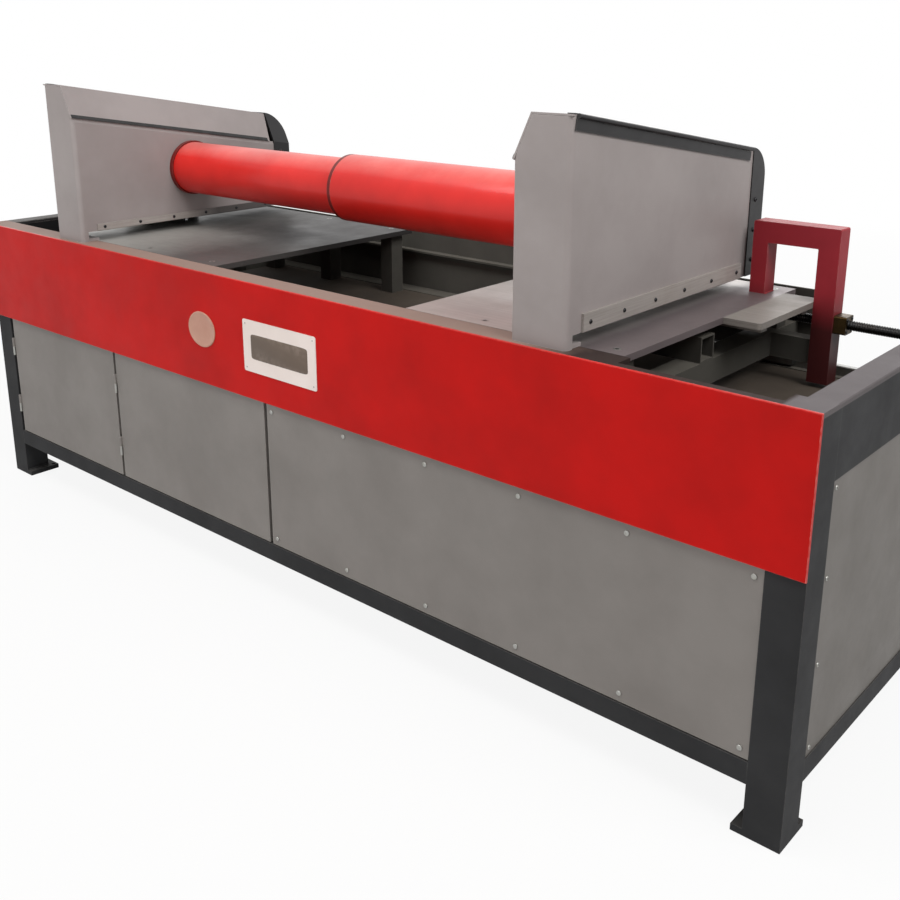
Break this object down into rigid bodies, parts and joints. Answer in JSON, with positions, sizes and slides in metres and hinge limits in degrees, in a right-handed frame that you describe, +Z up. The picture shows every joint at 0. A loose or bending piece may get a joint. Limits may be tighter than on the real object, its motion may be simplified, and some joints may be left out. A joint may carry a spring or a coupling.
{
  "type": "board notching machine",
  "caption": "Floor-standing board notching machine: hooded cutter heads on a steel bed, a telescopic shaft cover between them, and one head that slides on a screw.",
  "frame": {"origin": "on the floor, at the middle of the four anchor holes in the foot plates", "axes": "+X along the bed towards the sliding head, +Y from the operator's red front to the back, +Z up"},
  "size_m": [3.052, 0.943, 1.373],
  "materials": {
    "frame_paint": "satin dark grey enamel",
    "panel_paint": "satin mid grey enamel",
    "hood_paint": "satin light grey enamel",
    "red_paint": "glossy red enamel",
    "black_paint": "satin black enamel",
    "table_steel": "planed steel, dull",
    "bright_steel": "ground bright steel",
    "cast_metal": "machined grey iron",
    "motor_paint": "blue-grey motor enamel",
    "bronze": "turned bronze",
    "belt_rubber": "matt rubber",
    "black_plastic": "black moulded plastic",
    "box_plastic": "grey moulded plastic",
    "green_button": "green moulded plastic",
    "red_button": "red moulded plastic",
    "plate_print": "white printed aluminium plate, left blank",
    "badge_enamel": "pale plate, left blank"
  },
  "bodies": {
    "base": {"frame_legs": "frame_paint", "frame_rails": "frame_paint", "bed_frame": "frame_paint", "bed_tray": "black_paint", "top_strips": "frame_paint", "front_fascia": "red_paint", "data_plate": "plate_print", "badge_disc": "badge_enamel", "side_and_rear_panels": "panel_paint", "front_panel_right": "panel_paint", "panel_hardware": "bright_steel", "guide_rails": "bright_steel", "left_table_plate": "table_steel", "left_hood": "hood_paint", "left_rear_cap": "black_paint", "left_wear_strip": "bright_steel", "left_lid_hinge": "black_paint", "left_bearings": "bright_steel", "left_pedestal": "red_paint", "left_tube": "red_paint", "left_tube_collar": "red_paint", "screw_bracket": "frame_paint", "drive_belts": "belt_rubber", "motor_base": "frame_paint", "motor_body": "motor_paint", "belt_guard": "black_paint", "switch_box": "box_plastic", "switch_box_fittings": "black_plastic"},
    "right_head": {"right_table_plate": "table_steel", "board_rest_plate": "table_steel", "right_hood": "hood_paint", "right_rear_cap": "black_paint", "right_wear_strip": "bright_steel", "right_lid_hinge": "black_paint", "right_bearings": "bright_steel", "head_bracket": "red_paint", "right_tube": "red_paint", "right_tube_rings": "red_paint", "carriage_blocks": "bright_steel", "right_carriage": "frame_paint", "screw_nut": "bronze"},
    "screw": {"adjusting_screw": "bright_steel", "handwheel": "cast_metal"},
    "grip": {"handwheel_grip": "black_plastic"},
    "arbor": {"arbor_shaft": "bright_steel", "left_cutter": "cast_metal", "left_cutter_knives": "bright_steel", "arbor_pulley": "cast_metal"},
    "right_spindle": {"right_spindle": "bright_steel", "right_cutter": "cast_metal", "right_cutter_knives": "bright_steel"},
    "motor_rotor": {"motor_rotor": "cast_metal"},
    "left_lid": {"left_hood_lid": "hood_paint", "left_lid_leaf": "black_paint"},
    "right_lid": {"right_hood_lid": "hood_paint", "right_lid_leaf": "black_paint"},
    "left_door": {"left_door": "panel_paint"},
    "middle_door": {"middle_door": "panel_paint"},
    "start_button": {"start_button": "green_button"},
    "stop_button": {"stop_button": "red_button"}
  },
  "joints": [
    {"name": "right_head_slide", "type": "slide", "parent": "base", "child": "right_head", "axis": [1, 0, 0], "range_m": [-0.28, 0.05]},
    {"name": "screw_turn", "type": "hinge", "parent": "base", "child": "screw", "pos_m": [1.2, 0.32, 0.851], "axis": [1, 0, 0], "continuous": true},
    {"name": "grip_turn", "type": "hinge", "parent": "screw", "child": "grip", "pos_m": [1.54, 0.32, 0.943], "axis": [1, 0, 0], "continuous": true},
    {"name": "arbor_turn", "type": "hinge", "parent": "base", "child": "arbor", "pos_m": [-0.9, -0.03, 1.095], "axis": [1, 0, 0], "continuous": true},
    {"name": "right_spindle_turn", "type": "hinge", "parent": "right_head", "child": "right_spindle", "pos_m": [0.9, -0.03, 1.095], "axis": [1, 0, 0], "continuous": true},
    {"name": "motor_turn", "type": "hinge", "parent": "base", "child": "motor_rotor", "pos_m": [-0.95, -0.03, 0.38], "axis": [1, 0, 0], "continuous": true},
    {"name": "left_lid_swing", "type": "hinge", "parent": "base", "child": "left_lid", "pos_m": [-1.0405, -0.438, 1.36806], "axis": [0, -0.9874, 0.158], "range_deg": [0, 95]},
    {"name": "right_lid_swing", "type": "hinge", "parent": "right_head", "child": "right_lid", "pos_m": [0.9305, -0.438, 1.36806], "axis": [0, 0.9874, -0.158], "range_deg": [0, 95]},
    {"name": "left_door_swing", "type": "hinge", "parent": "base", "child": "left_door", "pos_m": [-1.384, -0.464, 0.375], "axis": [0, 0, -1], "range_deg": [0, 110]},
    {"name": "middle_door_swing", "type": "hinge", "parent": "base", "child": "middle_door", "pos_m": [-0.752, -0.464, 0.375], "axis": [0, 0, -1], "range_deg": [0, 90]},
    {"name": "start_button_press", "type": "slide", "parent": "base", "child": "start_button", "axis": [0, 1, 0], "range_m": [0, 0.005], "stiffness_N_per_m": 400, "springref_m": -0.002},
    {"name": "stop_button_press", "type": "slide", "parent": "base", "child": "stop_button", "axis": [0, 1, 0], "range_m": [0, 0.005], "stiffness_N_per_m": 400, "springref_m": -0.002}
  ],
  "couplings": [
    {"joint": "screw_turn", "follows": "right_head_slide", "rad_per_m": -1047.2},
    {"joint": "right_spindle_turn", "follows": "arbor_turn", "ratio": 1},
    {"joint": "motor_turn", "follows": "arbor_turn", "ratio": 0.8}
  ]
}
